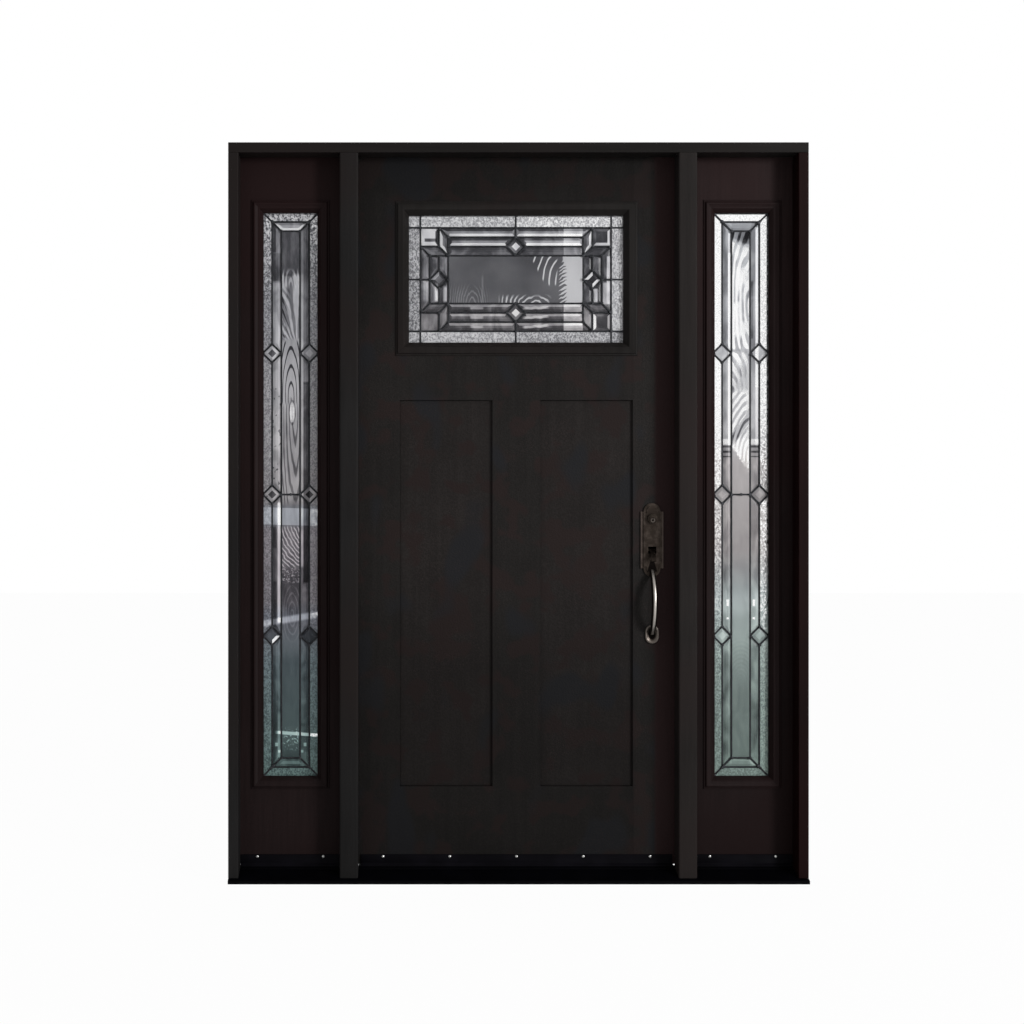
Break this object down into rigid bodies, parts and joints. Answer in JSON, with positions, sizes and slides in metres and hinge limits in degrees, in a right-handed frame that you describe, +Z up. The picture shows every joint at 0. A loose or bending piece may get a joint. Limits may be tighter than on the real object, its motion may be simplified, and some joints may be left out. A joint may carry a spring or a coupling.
{
  "type": "entrance door with sidelights",
  "caption": "Inswing entrance door leaf with a leaded light over flat panels, set between fixed leaded sidelights in one rebated frame with posts, head and sloping sill.",
  "frame": {"origin": "middle of the sill's underside, half-way through the frame's depth", "axes": "+X to the right seen from outside, +Y inwards, +Z up"},
  "size_m": [1.632, 0.192, 2.0825],
  "materials": {
    "stained_wood": "dark satin stain",
    "black_aluminium": "black anodised, satin",
    "seal_rubber": "matt",
    "clear_glass": "polished",
    "leaded_glass": "granular, streaky and bevelled textures",
    "lead_came": "dark patinated lead",
    "dark_bronze": "dark bronze, satin"
  },
  "bodies": {
    "frame": {"head_jamb": "stained_wood", "hinge_frame_leaves": "dark_bronze", "hinge_pins": "dark_bronze", "mullion_post_left": "stained_wood", "mullion_post_right": "stained_wood", "side_jamb_left": "stained_wood", "side_jamb_right": "stained_wood", "sidelight_drip_caps": "black_aluminium", "sidelight_left_came": "lead_came", "sidelight_left_inner_moulding": "stained_wood", "sidelight_left_leaded_glass": "leaded_glass", "sidelight_left_outer_moulding": "stained_wood", "sidelight_left_panes": "clear_glass", "sidelight_left_slab": "stained_wood", "sidelight_right_came": "lead_came", "sidelight_right_inner_moulding": "stained_wood", "sidelight_right_leaded_glass": "leaded_glass", "sidelight_right_outer_moulding": "stained_wood", "sidelight_right_panes": "clear_glass", "sidelight_right_slab": "stained_wood", "sill_base": "black_aluminium", "strike_plates": "dark_bronze", "threshold_caps": "black_aluminium", "weatherstrips": "seal_rubber"},
    "leaf": {"hinge_stile": "stained_wood", "lock_stile": "stained_wood", "top_rail": "stained_wood", "lock_rail": "stained_wood", "bottom_rail": "stained_wood", "centre_stile": "stained_wood", "panel_left": "stained_wood", "panel_right": "stained_wood", "lite_outer_moulding": "stained_wood", "lite_inner_moulding": "stained_wood", "lite_panes": "clear_glass", "lite_came": "lead_came", "lite_leaded_glass": "leaded_glass", "door_sweep": "black_aluminium", "hinge_door_leaves": "dark_bronze", "lock_edge_plates": "dark_bronze", "handle_plate": "dark_bronze", "handle_grip": "dark_bronze", "lock_cylinder": "dark_bronze", "inner_knob": "dark_bronze", "thumbturn": "dark_bronze"},
    "thumb": {"thumb_latch": "dark_bronze"}
  },
  "joints": [
    {"name": "door_swing", "type": "hinge", "parent": "frame", "child": "leaf", "pos_m": [-0.458, 0.0655, 1.0485], "axis": [0, 0, 1], "range_deg": [0, 100]},
    {"name": "thumb_press", "type": "hinge", "parent": "leaf", "child": "thumb", "pos_m": [0.3865, 0.019, 0.934], "axis": [1, 0, 0], "range_deg": [0, 16], "stiffness_Nm_per_rad": 0.8, "springref_deg": -11.46}
  ]
}
